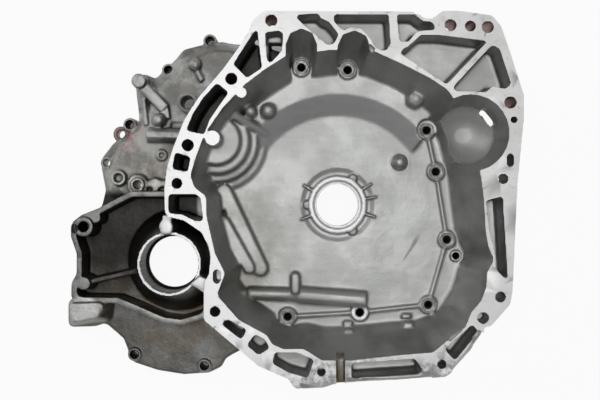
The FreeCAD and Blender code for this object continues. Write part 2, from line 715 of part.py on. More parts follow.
def bolt_holes():
    """Drilled and cored holes of both joint faces."""
    top = flange_z + sink
    low = flange_z - column_length - sink
    through = gearcase_z - sink
    holes = [drill(place, main_bolt_radius, low, top) for place in main_bolts]
    holes += [drill(place, side_bolt_radius, low, top) for place in side_bolts]
    holes += [post(place, main_bolt_radius, rim_z - sink, top) for place in top_bolts]
    holes += [post(place, radius, flange_z - blind_depth, top) for place, radius in blind_holes]
    holes += [post(place, radius, rim_z - sink, top) for place, radius in through_holes]
    holes += [slot(one, two, radius, flange_z - blind_depth, top) for one, two, radius in slot_holes]
    holes.append(post(side_ear, side_ear_bore, roof_z + sink, top))
    holes += [post(place, bell_bolt_radius, through, ledge_height + bell_boss_height + sink)
              for place in ledge_bosses]
    holes += [post(place, bell_bolt_radius, through, bell_boss_height + sink) for place in floor_bosses]
    holes.append(post(small_boss, small_boss_bore, through, bell_boss_height + 2 + sink))
    holes += [post(place, case_bolt_radius, through, band_z + rise + sink) for place, rise in case_bosses]
    holes += [post(place, case_bolt_radius, through, gearcase_z + case_lug_lift + height + sink)
              for place, radius, height in case_lugs]
    holes.append(slot(*starter_window, rim_z - sink, starter_window_top))
    holes.append(post(wall_hole[0], wall_hole[1], wall_hole[2], flange_z - rim_depth))
    return holes


def housing():
    """The whole casting."""
    parts = bell_body() + case_body() + case_features()
    body = parts[0].fuse(parts[1:])
    body = body.cut([bell_air(), bowl_air(), rear_air()] + flange_cuts())
    return body.cut(diff_hollow() + hub_hollow() + bolt_holes())


os.makedirs("parts", exist_ok=True)
shape = housing()
solids = shape.Solids
if len(solids) != 1:
    raise ValueError("The casting must be one solid")
solids[0].exportStep("parts/housing.step")
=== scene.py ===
"""Dresses a die-cast converter housing: its rounded casting, finishes, stage, light and camera.

Laid out as an add-on and run as a script. Everything is in metres in the housing's own frame:
the origin on the converter bore, +Z towards the engine.
"""

import json
import math

import bmesh
import bpy
from mathutils import Matrix, Vector


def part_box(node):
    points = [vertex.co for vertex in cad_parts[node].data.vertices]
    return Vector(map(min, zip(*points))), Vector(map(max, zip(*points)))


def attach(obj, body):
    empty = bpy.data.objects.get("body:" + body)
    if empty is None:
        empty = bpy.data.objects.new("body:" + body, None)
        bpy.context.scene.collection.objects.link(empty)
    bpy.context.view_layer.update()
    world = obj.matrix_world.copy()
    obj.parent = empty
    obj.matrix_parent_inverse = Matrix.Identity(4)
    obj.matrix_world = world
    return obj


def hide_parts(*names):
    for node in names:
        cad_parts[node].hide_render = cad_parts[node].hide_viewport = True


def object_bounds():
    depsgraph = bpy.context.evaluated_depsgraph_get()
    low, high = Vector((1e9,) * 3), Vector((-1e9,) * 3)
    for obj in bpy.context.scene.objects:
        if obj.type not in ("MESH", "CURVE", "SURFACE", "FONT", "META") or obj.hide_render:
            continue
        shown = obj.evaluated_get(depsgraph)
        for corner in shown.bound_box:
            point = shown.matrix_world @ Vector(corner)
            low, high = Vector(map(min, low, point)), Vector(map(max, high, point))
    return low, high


bl_info = {
    "name": "Converter housing",
    "version": (1, 0, 0),
    "blender": (4, 5, 0),
    "location": "View3D > Sidebar > Housing",
    "description": "Dresses a die-cast transmission housing on its packed frame",
    "category": "Object",
}

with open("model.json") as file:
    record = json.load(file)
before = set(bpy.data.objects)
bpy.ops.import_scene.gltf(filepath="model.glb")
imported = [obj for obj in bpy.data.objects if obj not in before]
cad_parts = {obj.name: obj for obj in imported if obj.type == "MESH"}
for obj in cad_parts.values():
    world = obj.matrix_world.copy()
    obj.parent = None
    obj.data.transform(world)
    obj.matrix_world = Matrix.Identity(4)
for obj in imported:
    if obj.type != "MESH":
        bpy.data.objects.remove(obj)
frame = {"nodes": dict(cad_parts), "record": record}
CAD_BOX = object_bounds()
MM = 0.001
BODY = "root"
NODE = "housing"

FLANGE_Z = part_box(NODE)[1][2]
GEARCASE_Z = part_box(NODE)[0][2]


def mounts():
    """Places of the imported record's mounts by name."""
    return {mount["name"]: mount["pos_m"] for mount in frame["record"]["mounts"]}


DIFF_CENTRE = mounts()["differential_bore"]


class HousingSizes(bpy.types.PropertyGroup):
    """Sizes that a user may change."""

    voxel: bpy.props.FloatProperty(
        name="Casting cell", description="Cell from which the rounded casting is skinned",
        default=1.05 * MM, unit="LENGTH", precision=5)
    smoothing: bpy.props.IntProperty(
        name="Edge rounding", description="Passes that round the cast edges", default=34, min=0)
    crisp_band: bpy.props.FloatProperty(
        name="Crisp band", description="Depth below a milled face that keeps its sharp edge",
        default=1.3 * MM, unit="LENGTH", precision=5)
    triangles: bpy.props.IntProperty(
        name="Triangles", description="Most triangles of the casting", default=190000, min=20000)
    camera_height: bpy.props.FloatProperty(
        name="Camera height", description="Lens above the engine flange",
        default=0.950, unit="LENGTH")
    camera_x: bpy.props.FloatProperty(
        name="Camera across", description="Lens across from the converter bore",
        default=-0.0445, unit="LENGTH")
    camera_y: bpy.props.FloatProperty(
        name="Camera up", description="Lens above the converter bore in the picture",
        default=0.0057, unit="LENGTH")
    view_width: bpy.props.FloatProperty(
        name="View width", description="Width that the picture takes in at the flange",
        default=0.660, unit="LENGTH")


class HousingColours(bpy.types.PropertyGroup):
    """Colours that a user may change."""

    cast: bpy.props.FloatVectorProperty(
        name="Cast skin", description="Aluminium as it left the die", subtype="COLOR",
        size=4, default=(0.47, 0.475, 0.455, 1.0), min=0.0, max=1.0)
    # Also painted light at the foot of the bell's walls and on the case's up-facing tops
    clean_and_lit_skin: bpy.props.FloatVectorProperty(
        name="Light cast skin", description="Cleaner patches of the skin, and painted light", subtype="COLOR",
        size=4, default=(0.60, 0.605, 0.585, 1.0), min=0.0, max=1.0)
    cast_dark: bpy.props.FloatVectorProperty(
        name="Dull cast skin", description="Older, duller patches of the skin", subtype="COLOR",
        size=4, default=(0.23, 0.225, 0.21, 1.0), min=0.0, max=1.0)
    machined: bpy.props.FloatVectorProperty(
        name="Machined metal", description="Milled joint faces and bores", subtype="COLOR",
        size=4, default=(0.93, 0.928, 0.92, 1.0), min=0.0, max=1.0)
    machined_dull: bpy.props.FloatVectorProperty(
        name="Dull machined metal", description="Milled face gone dull at the right", subtype="COLOR",
        size=4, default=(0.70, 0.688, 0.665, 1.0), min=0.0, max=1.0)
    # Painted shade, with grime, for the bowl, the deep pockets, the bolt holes and the bearing seat
    grime_and_shade: bpy.props.FloatVectorProperty(
        name="Black grime and painted shade", description="Grime and painted shade in the bowl, pockets and holes", subtype="COLOR",
        size=4, default=(0.035, 0.033, 0.03, 1.0), min=0.0, max=1.0)
    rust: bpy.props.FloatVectorProperty(
        name="Rust", description="Rust that the bolts left in their holes", subtype="COLOR",
        size=4, default=(0.34, 0.17, 0.14, 1.0), min=0.0, max=1.0)
    red: bpy.props.FloatVectorProperty(
        name="Red trace", description="Traces of red marking paint", subtype="COLOR",
        size=4, default=(0.42, 0.05, 0.06, 1.0), min=0.0, max=1.0)
    oil: bpy.props.FloatVectorProperty(
        name="Old oil", description="Brown film round the differential", subtype="COLOR",
        size=4, default=(0.16, 0.115, 0.07, 1.0), min=0.0, max=1.0)
    floor: bpy.props.FloatVectorProperty(
        name="Floor", description="Plain pale floor", subtype="COLOR",
        size=4, default=(0.92, 0.92, 0.92, 1.0), min=0.0, max=1.0)


class Nodes:
    """Short hand for building a material's nodes."""

    def __init__(self, name):
        self.material = bpy.data.materials.new(name)
        self.material.use_nodes = True
        self.tree = self.material.node_tree
        self.shader = self.tree.nodes["Principled BSDF"]
        self.place = self.tree.nodes.new("ShaderNodeTexCoord").outputs["Object"]
        split = self.tree.nodes.new("ShaderNodeSeparateXYZ")
        self.link(self.place, split.inputs[0])
        self.x, self.y, self.z = split.outputs

    def link(self, source, target):
        self.tree.links.new(source, target)

    def put(self, socket, value):
        if isinstance(value, bpy.types.NodeSocket):
            self.link(value, socket)
        else:
            socket.default_value = value

    def math(self, operation, first, second=0.0, third=0.0):
        node = self.tree.nodes.new("ShaderNodeMath")
        node.operation = operation
        for socket, value in zip(node.inputs, (first, second, third)):
            self.put(socket, value)
        return node.outputs[0]

    def ramp(self, value, low, high):
        """0 at low and 1 at high, smooth between; low may be the larger."""
        node = self.tree.nodes.new("ShaderNodeMapRange")
        node.interpolation_type = "SMOOTHSTEP"
        self.put(node.inputs["Value"], value)
        flip = low > high
        node.inputs["From Min"].default_value = min(low, high)
        node.inputs["From Max"].default_value = max(low, high)
        node.inputs["To Min"].default_value = 1.0 if flip else 0.0
        node.inputs["To Max"].default_value = 0.0 if flip else 1.0
        return node.outputs[0]

    def both(self, *masks):
        result = masks[0]
        for mask in masks[1:]:
            result = self.math("MULTIPLY", result, mask)
        return result

    def either(self, *masks):
        result = masks[0]
        for mask in masks[1:]:
            result = self.math("MAXIMUM", result, mask)
        return result

    def noise(self, scale, detail=4.0, roughness=0.55, stretch=(1.0, 1.0, 1.0), turn=0.0):
        mapping = self.tree.nodes.new("ShaderNodeMapping")
        mapping.vector_type = "TEXTURE"
        mapping.inputs["Rotation"].default_value = (0.0, 0.0, turn)
        mapping.inputs["Scale"].default_value = [1.0 / share for share in stretch]
        self.link(self.place, mapping.inputs["Vector"])
        node = self.tree.nodes.new("ShaderNodeTexNoise")
        node.inputs["Scale"].default_value = scale
        node.inputs["Detail"].default_value = detail
        node.inputs["Roughness"].default_value = roughness
        self.link(mapping.outputs[0], node.inputs["Vector"])
        return node.outputs["Fac"]

    def radius(self, x, y):
        """Distance in plan from a point."""
        across = self.math("SUBTRACT", self.x, x)
        up = self.math("SUBTRACT", self.y, y)
        square = self.math("MULTIPLY_ADD", across, across, self.math("MULTIPLY", up, up))
        return self.math("SQRT", square)

    def facing_up(self, low, high):
        """Share by which the surface faces the engine side."""
        normal = self.tree.nodes.new("ShaderNodeNewGeometry").outputs["True Normal"]
        split = self.tree.nodes.new("ShaderNodeSeparateXYZ")
        self.link(normal, split.inputs[0])
        return self.ramp(split.outputs[2], low, high)

    def blend(self, share, first, second):
        node = self.tree.nodes.new("ShaderNodeMix")
        node.data_type = "RGBA"
        self.put(node.inputs["Factor"], share)
        self.put(node.inputs["A"], first)
        self.put(node.inputs["B"], second)
        return node.outputs["Result"]

    def between(self, share, first, second):
        node = self.tree.nodes.new("ShaderNodeMix")
        node.data_type = "FLOAT"
        self.put(node.inputs[0], share)
        self.put(node.inputs[2], first)
        self.put(node.inputs[3], second)
        return node.outputs[0]

    def bump(self, height, distance, strength=1.0, under=None):
        node = self.tree.nodes.new("ShaderNodeBump")
        node.inputs["Distance"].default_value = distance
        self.put(node.inputs["Strength"], strength)
        self.link(height, node.inputs["Height"])
        if under is not None:
            self.link(under, node.inputs["Normal"])
        return node.outputs[0]


# Places that the finish and the painted shade follow, in metres: the bell's room, stained holes, seats and
# traces
BELL_CENTRE = (0.005, 0.0)
BELL_REACH = 0.168
RUSTY_HOLES = ((-0.076, 0.203), (-0.120, 0.139), (0.121, 0.198), (0.162, 0.196), (0.187, 0.113),
               (0.143, 0.197))
RUSTY_REACH = 7.2 * MM
SPOT_FACE = (0.026, -0.127)
SPOT_FACE_RADIUS = 9.2 * MM
FLOOR_BOSSES = ((0.105, 0.088), (0.116, 0.039), (0.129, -0.041), (0.107, -0.118), (-0.059, -0.132))
LEDGE_BOSSES = ((-0.043, 0.160), (0.011, 0.157))
SMALL_BOSS = (0.139, -0.060)
RED_TRACE = (-0.256, 0.084)
SCRATCHED = (0.088, -0.056)
FOOT_PLACE = (-0.303, -0.130)
GROOVE_X = 0.0004
GROOVE_END_Y = -0.166
# Rear bolt holes that show dark, painted as shade, in millimetres
DARK_HOLES = ((-155, 201), (-206, 165), (-253, 98), (-312, -28), (-248, -184), (-162, -198))

# Milled places: the hub and the ring in plan, the ring's top, and the links' and spot face's heights
HUB_RADIUS = 34.0 * MM
RING_RADIUS = 36.6 * MM
RING_TOP = 41.6 * MM
SEAT_RADIUS = 34.6 * MM
LINK_HEIGHTS = (41.5 * MM, 51.5 * MM)
LINK_REACH = (33.0 * MM, 60.0 * MM)
SPOT_HEIGHTS = (3.2 * MM, 6.0 * MM)
# The bowl round the differential ring, and the strip of flange pockets painted dark as shade
BOWL_X = (-318.0 * MM, -158.0 * MM)
BOWL_Y = (-112.0 * MM, 10.0 * MM)
POCKETS_X = (-192.0 * MM, -56.0 * MM)
POCKETS_Z = (-4.0 * MM, 30.0 * MM)
# Heights of the case's lobes and of the bowl's rim
LOBE_HEIGHTS = (-22.5 * MM, -9.0 * MM)
RIM_HEIGHTS = (-6.5 * MM, 8.0 * MM)

# Tints that go with the panel's colours
SPECK = (0.13, 0.125, 0.115, 1.0)
STEEP_SHADE = (0.13, 0.13, 0.122, 1.0)
LOWER_SHADE = (0.15, 0.15, 0.145, 1.0)
FOOT_FACE = (0.74, 0.73, 0.71, 1.0)
SCRATCH = (0.12, 0.12, 0.11, 1.0)
EDGE_HIGHLIGHT = (0.74, 0.735, 0.715, 1.0)
CORNER_SHADE_AND_DIRT = (0.10, 0.097, 0.09, 1.0)
FINE_PITS = (0.30, 0.285, 0.27, 1.0)
CORRODED = (0.27, 0.272, 0.28, 1.0)
SCORE_LINE = (0.42, 0.41, 0.39, 1.0)


def slab(n, value, low, high, soft):
    """1 between two values and 0 outside them."""
    return n.both(n.ramp(value, low - soft, low), n.ramp(value, high + soft, high))


def machined_mask(n, hub, diff, up):
    """Milled joint faces, the two bores, the ring's links and the spot face."""
    flange = n.both(n.ramp(n.z, FLANGE_Z - 0.55 * MM, FLANGE_Z - 0.25 * MM), up)
    hub_face = n.both(n.ramp(hub, HUB_RADIUS + 0.6 * MM, HUB_RADIUS), n.ramp(n.z, -22 * MM, -19 * MM))
    ring = n.both(n.ramp(diff, RING_RADIUS + 0.6 * MM, RING_RADIUS), n.ramp(n.z, RING_TOP - MM, RING_TOP), up)
    links = n.both(slab(n, n.z, *LINK_HEIGHTS, 0.5 * MM), slab(n, diff, *LINK_REACH, 2 * MM), up)
    spot = n.both(n.ramp(n.radius(*SPOT_FACE), SPOT_FACE_RADIUS + 0.4 * MM, SPOT_FACE_RADIUS),
                  slab(n, n.z, *SPOT_HEIGHTS, 0.4 * MM), up)
    rear = n.ramp(n.z, GEARCASE_Z + 0.8 * MM, GEARCASE_Z + 0.2 * MM)
    return n.either(flange, hub_face, ring, links, spot, rear)


def edges(n):
    """Painted highlights on convex edges, and painted shade with dirt in concave corners."""
    point = n.tree.nodes.new("ShaderNodeNewGeometry").outputs["Pointiness"]
    return n.ramp(point, 0.515, 0.60), n.ramp(point, 0.485, 0.42)


def bare_skin(n, bell, colours):
    """Cast skin: clean and brushed in the bell, dull and blotched outside it."""
    mottle = n.ramp(n.noise(9.0, 3.0, 0.5), 0.30, 0.75)
    brushed = n.noise(160.0, 3.0, 0.6, (0.12, 1.0, 1.0))
    share = n.math("MULTIPLY_ADD", mottle, 0.35, n.math("MULTIPLY", n.ramp(brushed, 0.35, 0.7), 0.25))
    clean = n.blend(share, colours.cast, colours.clean_and_lit_skin)
    patches = n.ramp(n.noise(21.0, 8.0, 0.68), 0.40, 0.63)
    dull = n.blend(patches, colours.cast_dark, colours.cast)
    skin = n.blend(bell, dull, clean)
    speckle = n.ramp(n.noise(210.0, 5.0, 0.7), 0.56, 0.72)
    return n.blend(n.math("MULTIPLY", speckle, n.between(bell, 0.45, 0.12)), skin, SPECK)


def shaded_walls(n, skin, bell, colours):
    """Painted shade on steep walls, painted light at their foot in the bell, and painted shade on the lower
    left case.
    """
    # Painted shade: steep walls darker, in streaks
    steep = n.facing_up(0.72, 0.40)
    shade = n.ramp(n.noise(22.0, 4.0, 0.55, (1.0, 1.0, 0.4)), 0.34, 0.66)
    skin = n.blend(n.both(steep, n.between(shade, 0.48, 0.06)), skin, STEEP_SHADE)
    # Painted light: steep walls in the bell lighter towards their foot
    foot = n.both(steep, bell, n.ramp(n.z, 30 * MM, 2 * MM), n.ramp(n.noise(35.0, 4.0, 0.6), 0.35, 0.62))
    skin = n.blend(n.math("MULTIPLY", foot, 0.5), skin, colours.clean_and_lit_skin)
    # Painted shade: the lower left case darker low down
    lower = n.both(n.ramp(n.y, -108 * MM, -128 * MM), n.ramp(n.x, -60 * MM, -90 * MM),
                   n.ramp(n.z, 2 * MM, -12 * MM))
    return n.blend(n.math("MULTIPLY", lower, 0.62), skin, LOWER_SHADE)


def oil_and_bowl_shade(n, skin, diff, colours):
    """Brown film round the differential, and painted shade with black grime in its bowl."""
    film = n.ramp(n.noise(26.0, 7.0, 0.66), 0.36, 0.60)
    reach = n.ramp(diff, 175.0 * MM, 60.0 * MM)
    low = n.ramp(n.z, 34.0 * MM, -20.0 * MM)
    skin = n.blend(n.math("MULTIPLY", n.both(reach, low, film), 0.7), skin, colours.oil)
    # Painted shade with grime: the bowl darkened, most in its upper half
    bowl = n.both(slab(n, n.x, *BOWL_X, 14 * MM), slab(n, n.y, *BOWL_Y, 9 * MM),
                  n.ramp(n.z, 24 * MM, -8 * MM))
    upper = n.ramp(n.y, -96 * MM, -66 * MM)
    return n.blend(n.both(bowl, n.between(upper, 0.62, 0.93)), skin, colours.grime_and_shade)


def lit_and_rubbed(n, skin, bell, diff, colours):
    """Painted light with patchy wear on the case's up-facing tops, the foot's up-facing face lighter, and the
    scratches on the bell's floor.
    """
    worn = n.ramp(n.noise(60.0, 6.0, 0.65), 0.36, 0.58)
    facing = n.facing_up(0.80, 0.95)
    outside = n.ramp(n.x, -140 * MM, -150 * MM)
    lobes = n.both(slab(n, n.z, *LOBE_HEIGHTS, 1 * MM), outside)
    rim = n.both(0.6, slab(n, n.z, *RIM_HEIGHTS, 0.8 * MM), outside, n.ramp(diff, 64 * MM, 68 * MM))
    tops = n.either(lobes, rim)
    # Painted light: the up-facing tops lighter, in worn patches
    skin = n.blend(n.both(tops, facing, n.between(worn, 0.25, 0.85)), skin, colours.clean_and_lit_skin)
    foot = n.both(n.ramp(n.radius(*FOOT_PLACE), 24 * MM, 19 * MM), n.ramp(n.z, -12 * MM, -6 * MM), facing)
    skin = n.blend(n.both(foot, n.between(worn, 0.6, 1.0)), skin, FOOT_FACE)
    scores = n.ramp(n.noise(85.0, 2.0, 0.5, (1.0, 0.1, 1.0), -0.6), 0.60, 0.66)
    marks = n.both(n.ramp(n.radius(*SCRATCHED), 27 * MM, 12 * MM), scores, bell)
    return n.blend(n.math("MULTIPLY", marks, 0.55), skin, SCRATCH)


def recess_shade_and_grime(n, skin, diff, colours):
    """Painted shade in the flange's pockets, the bolt seats and the rear holes, and painted shade with grime
    on the bearing seat.
    """
    # Painted shade: the deep pockets, the seats' holes and the rear holes darkened
    pocket_shade = n.both(n.ramp(n.radius(*BELL_CENTRE), BELL_REACH, BELL_REACH + 4 * MM),
                  slab(n, n.x, *POCKETS_X, 5 * MM), slab(n, n.z, *POCKETS_Z, 6 * MM),
                  n.ramp(n.y, -22 * MM, -16 * MM))
    floor_seats = FLOOR_BOSSES + (SMALL_BOSS, SPOT_FACE)
    seats = [n.both(n.ramp(n.radius(x, y), 5.7 * MM, 5.3 * MM), n.ramp(n.z, low, low - 1.5 * MM))
             for places, low in ((floor_seats, 1.5 * MM), (LEDGE_BOSSES, 15.5 * MM))
             for x, y in places]
    rear = [n.ramp(n.radius(x * MM, y * MM), 6.0 * MM, 5.6 * MM) for x, y in DARK_HOLES]
    # Painted shade with grime on the bearing seat's wall
    seat_wall = n.both(n.ramp(diff, SEAT_RADIUS + 0.8 * MM, SEAT_RADIUS), n.ramp(n.z, 40.2 * MM, 39.0 * MM))
    dark = n.either(n.math("MULTIPLY", pocket_shade, 0.92), *seats, *rear, n.math("MULTIPLY", seat_wall, 0.88))
    return n.blend(dark, skin, colours.grime_and_shade)


def cast_colour(n, bell, diff, colours):
    """Colour of the cast skin with its painted shade and light, oil, wear and grime."""
    skin = bare_skin(n, bell, colours)
    skin = shaded_walls(n, skin, bell, colours)
    skin = oil_and_bowl_shade(n, skin, diff, colours)
    skin = lit_and_rubbed(n, skin, bell, diff, colours)
    return recess_shade_and_grime(n, skin, diff, colours)


def stains(n, colour, colours):
    """Rust in the bolt holes, red traces on the case and old oil in the drain groove."""
    below = n.ramp(n.z, FLANGE_Z - 0.3 * MM, FLANGE_Z - 1.5 * MM)
    rust = n.either(*[n.ramp(n.radius(x, y), RUSTY_REACH + 0.5 * MM, RUSTY_REACH) for x, y in RUSTY_HOLES])
    rust = n.both(rust, below, n.ramp(n.z, 10 * MM, 30 * MM))
    colour = n.blend(n.math("MULTIPLY", rust, 0.75), colour, colours.rust)
    red = n.both(n.ramp(n.radius(*RED_TRACE), 26 * MM, 6 * MM), n.ramp(n.noise(90.0, 5.0, 0.7), 0.46, 0.6))
    colour = n.blend(n.math("MULTIPLY", red, 0.55), colour, colours.red)
    groove = n.both(slab(n, n.x, GROOVE_X - 4.2 * MM, GROOVE_X + 4.2 * MM, 0.8 * MM),
                    n.ramp(n.y, GROOVE_END_Y + 4 * MM, GROOVE_END_Y), n.ramp(n.z, 50 * MM, 60 * MM))
    streaks = n.ramp(n.noise(120.0, 4.0, 0.6, (1.0, 0.15, 1.0)), 0.35, 0.62)
    return n.blend(n.both(groove, n.between(streaks, 0.45, 0.9)), colour, colours.oil)


def milled_colour(n, colours):
    """Milled metal, whitest at the lower left, duller and scored at the right, corroded below."""
    across = n.math("MULTIPLY_ADD", n.y, 0.7, n.x)
    right = n.ramp(across, -60 * MM, 190 * MM)
    bottom = n.ramp(n.y, -150 * MM, -185 * MM)
    dull = n.either(n.math("MULTIPLY", right, 0.75), n.math("MULTIPLY", bottom, 0.7))
    cloud = n.ramp(n.noise(30.0, 7.0, 0.65), 0.36, 0.66)
    share = n.both(dull, n.between(cloud, 0.45, 1.0))
    plain = n.blend(share, colours.machined, colours.machined_dull)
    fine = n.ramp(n.noise(170.0, 5.0, 0.7), 0.60, 0.74)
    plain = n.blend(n.both(fine, dull, 0.85), plain, FINE_PITS)
    pitted = n.both(n.ramp(n.y, -163 * MM, -178 * MM), n.ramp(n.x, -62 * MM, -48 * MM),
                    n.ramp(n.noise(95.0, 8.0, 0.75), 0.40, 0.58))
    plain = n.blend(n.math("MULTIPLY", pitted, 0.8), plain, CORRODED)
    score = n.ramp(n.noise(75.0, 2.0, 0.5, (1.0, 9.0, 1.0)), 0.62, 0.72)
    return n.blend(n.math("MULTIPLY", score, 0.22), plain, SCORE_LINE)


def cast_and_machined():
    """Die-cast skin with milled faces, bores, oil film, handling dirt, and painted light and shade."""
    colours = bpy.context.scene.housing_colours
    n = Nodes("cast_and_machined")
    up = n.facing_up(0.72, 0.95)
    hub = n.radius(0.0, 0.0)
    diff = n.radius(DIFF_CENTRE[0], DIFF_CENTRE[1])
    room = n.ramp(n.radius(*BELL_CENTRE), BELL_REACH + 4 * MM, BELL_REACH)
    bell = n.both(n.either(room, n.ramp(n.x, -118 * MM, -98 * MM)), n.ramp(n.z, -45.0 * MM, -6.0 * MM))
    machined = machined_mask(n, hub, diff, up)
    convex, concave = edges(n)

    skin = cast_colour(n, bell, diff, colours)
    # Painted highlight on convex edges
    skin = n.blend(n.math("MULTIPLY", convex, 0.55), skin, EDGE_HIGHLIGHT)
    # Painted shade with dirt in concave corners
    skin = n.blend(n.math("MULTIPLY", concave, 0.6), skin, CORNER_SHADE_AND_DIRT)
    colour = n.blend(machined, skin, milled_colour(n, colours))
    colour = stains(n, colour, colours)
    n.link(colour, n.shader.inputs["Base Color"])
    n.shader.inputs["Metallic"].default_value = 1.0

    patches = n.ramp(n.noise(18.0, 5.0, 0.6), 0.40, 0.62)
    cast_rough = n.between(patches, 0.54, 0.48)
    n.link(n.between(machined, cast_rough, 0.55), n.shader.inputs["Roughness"])

    grain = n.noise(420.0, 3.0, 0.7)
    fine = n.bump(grain, 0.35 * MM, n.between(machined, 0.55, 0.05))
    coarse = n.noise(70.0, 5.0, 0.62)
    waves = n.bump(coarse, 1.3 * MM, n.between(machined, n.between(bell, 0.75, 0.28), 0.0), fine)
    steep = n.facing_up(0.75, 0.45)
    flow = n.noise(16.0, 2.0, 0.5, (1.0, 1.0, 0.45))
    drawn = n.bump(flow, 14.0 * MM, n.math("MULTIPLY", steep, 0.75), waves)
    n.link(drawn, n.shader.inputs["Normal"])
    return n.material


def working_copy(node):
    """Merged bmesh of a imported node's triangles."""
    bm = bmesh.new()
    bm.from_mesh(frame["nodes"][node].data)
    bmesh.ops.remove_doubles(bm, verts=bm.verts, dist=2e-6)
    return bm


def baked(piece):
    """The piece's mesh with its modifiers worked in."""
    graph = bpy.context.evaluated_depsgraph_get()
    mesh = bpy.data.meshes.new_from_object(piece.evaluated_get(graph))
    piece.modifiers.clear()
    old = piece.data
    piece.data = mesh
    bpy.data.meshes.remove(old)


def new_piece(name, bm):
    """Object at the origin from a bmesh."""
    mesh = bpy.data.meshes.new(name)
    bm.to_mesh(mesh)
    bm.free()
    piece = bpy.data.objects.new(name, mesh)
    bpy.context.collection.objects.link(piece)
    return piece


HEX_SIDES = 6
HEX_RADIUS = 10.5
ROUND_SIDES = 40
# Posts that the die left on the case and the bell, in millimetres: place, foot and top radius, heights
CAST_POSTS = (((88.5, 122.0), HEX_RADIUS, 9.5, 8.0, 34.0), ((88.5, 122.0), 4.5, 4.0, 33.0, 36.0),
              ((-171.5, 169.7), 4.4, 4.2, -22.0, -19.0), ((-124.0, -99.5), 9.0, 8.0, -1.0, 7.0),
              ((-196.3, -24.5), 9.4, 8.6, -38.0, 44.0))
# Webs that tie the differential ring to the flange: outline and heights
CAST_LINKS = (((-202.0, -33.0), (-190.5, -33.0), (-189.0, -11.0), (-201.0, -11.0), -38.0, 42.5),
              ((-168.5, -89.0), (-157.0, -79.5), (-141.0, -86.0), (-151.0, -101.0), 8.0, 49.0))
# Rings round open holes: place, outer and inner radius, heights
CAST_RINGS = (((-300.7, -26.0), 12.0, 6.2, -39.0, 1.5), ((-263.5, 32.2), 10.0, 5.2, -40.0, -17.0),
              ((-281.0, 51.0), 8.2, 4.4, -52.0, -34.0), ((-212.0, 60.0), 7.0, 3.6, -27.0, -24.0))
# Metal that is cut away, the boss at the upper right freed with it: place, radius and heights
OPEN_HOLES = (((-281.0, 51.0), 4.4, -70.0, 0.0), ((105.0, 88.0), 12.6, 4.05, 34.0))
# The starter pocket as a bowl: centre, radius at the flange, depth, and how far from the centre it is cut
STARTER_CUP = (0.1435, 0.0795)
CUP_RADIUS = 42.5 * MM
CUP_DEPTH = 51.0 * MM
CUP_SHAPED = 33.0 * MM
# The small boss as a cone: centre, radius at its top and foot, reach of its skin, and height
PIN_BOSS = (0.073, 0.050)
PIN_TOP_RADIUS = 3.6 * MM
PIN_FOOT_RADIUS = 10.2 * MM
PIN_REACH = 11.5 * MM
PIN_HEIGHT = 9.0 * MM
# Bolt seats: reach of the sunk face, its height band and how far it is sunk
SEAT_REACH = 7.9 * MM
SEAT_BAND = 1.6 * MM
SEAT_SUNK = 1.3 * MM
# Skin nearer to a milled plane than this belongs to it
PLANE_BAND = 0.55 * MM


def upright(place, radius_low, radius_high, low, high, bm, sides=ROUND_SIDES):
    """Closed upright post in a bmesh, its sizes in millimetres."""
    centre = Vector((place[0] * MM, place[1] * MM, (low + high) / 2 * MM))
    bmesh.ops.create_cone(bm, cap_ends=True, segments=sides, radius1=radius_low * MM,
                          radius2=radius_high * MM, depth=(high - low) * MM,
                          matrix=Matrix.Translation(centre))


def cast_ring(place, outer, inner, low, high, bm):
    """Closed ring in a bmesh, spun from its section."""
    centre = Vector((place[0] * MM, place[1] * MM, 0.0))
    section = [bm.verts.new(centre + Vector((reach * MM, 0.0, height * MM)))
               for reach, height in ((inner, low), (outer, low), (outer - 0.6, high), (inner, high))]
    outline = [bm.edges.new((section[i], section[(i + 1) % 4])) for i in range(4)]
    bmesh.ops.spin(bm, geom=section + outline, cent=centre, axis=(0.0, 0.0, 1.0),
                   angle=2 * math.pi, steps=ROUND_SIDES, use_merge=True)
    faces = {face for vertex in bm.verts if vertex.is_valid for face in vertex.link_faces
             if math.hypot(vertex.co.x - centre.x, vertex.co.y - centre.y) <= outer * MM + 1e-6}
    bmesh.ops.recalc_face_normals(bm, faces=list(faces))


def cast_web(corners, low, high, bm):
    """Closed web in a bmesh, raised from its outline in plan."""
    web = bm.faces.new([bm.verts.new((x * MM, y * MM, low * MM)) for x, y in corners])
    raised = bmesh.ops.extrude_face_region(bm, geom=[web], use_keep_orig=True)["geom"]
    tops = [item for item in raised if isinstance(item, bmesh.types.BMVert)]
    bmesh.ops.translate(bm, verts=tops, vec=(0.0, 0.0, (high - low) * MM))
    bmesh.ops.recalc_face_normals(bm, faces=bm.faces)


def cast_forms():
    """Posts, webs and rings that are worked into the skin with the casting."""
    bm = bmesh.new()
    for place, low_radius, high_radius, low, high in CAST_POSTS:
        sides = HEX_SIDES if low_radius == HEX_RADIUS else ROUND_SIDES
        upright(place, low_radius, high_radius, low, high, bm, sides)
    for *corners, low, high in CAST_LINKS:
        cast_web(corners, low, high, bm)
    for place, outer, inner, low, high in CAST_RINGS:
        cast_ring(place, outer, inner, low, high, bm)
    return bm


def opened(piece):
    """Cuts the open holes out of the casting."""
    bm = bmesh.new()
    for place, radius, low, high in OPEN_HOLES:
        upright(place, radius, radius, low, high, bm)
    cutter = new_piece("cutter", bm)
    cut = piece.modifiers.new("cut", "BOOLEAN")
    cut.operation = "DIFFERENCE"
    cut.solver = "EXACT"
    cut.object = cutter
    baked(piece)
    bpy.data.objects.remove(cutter)


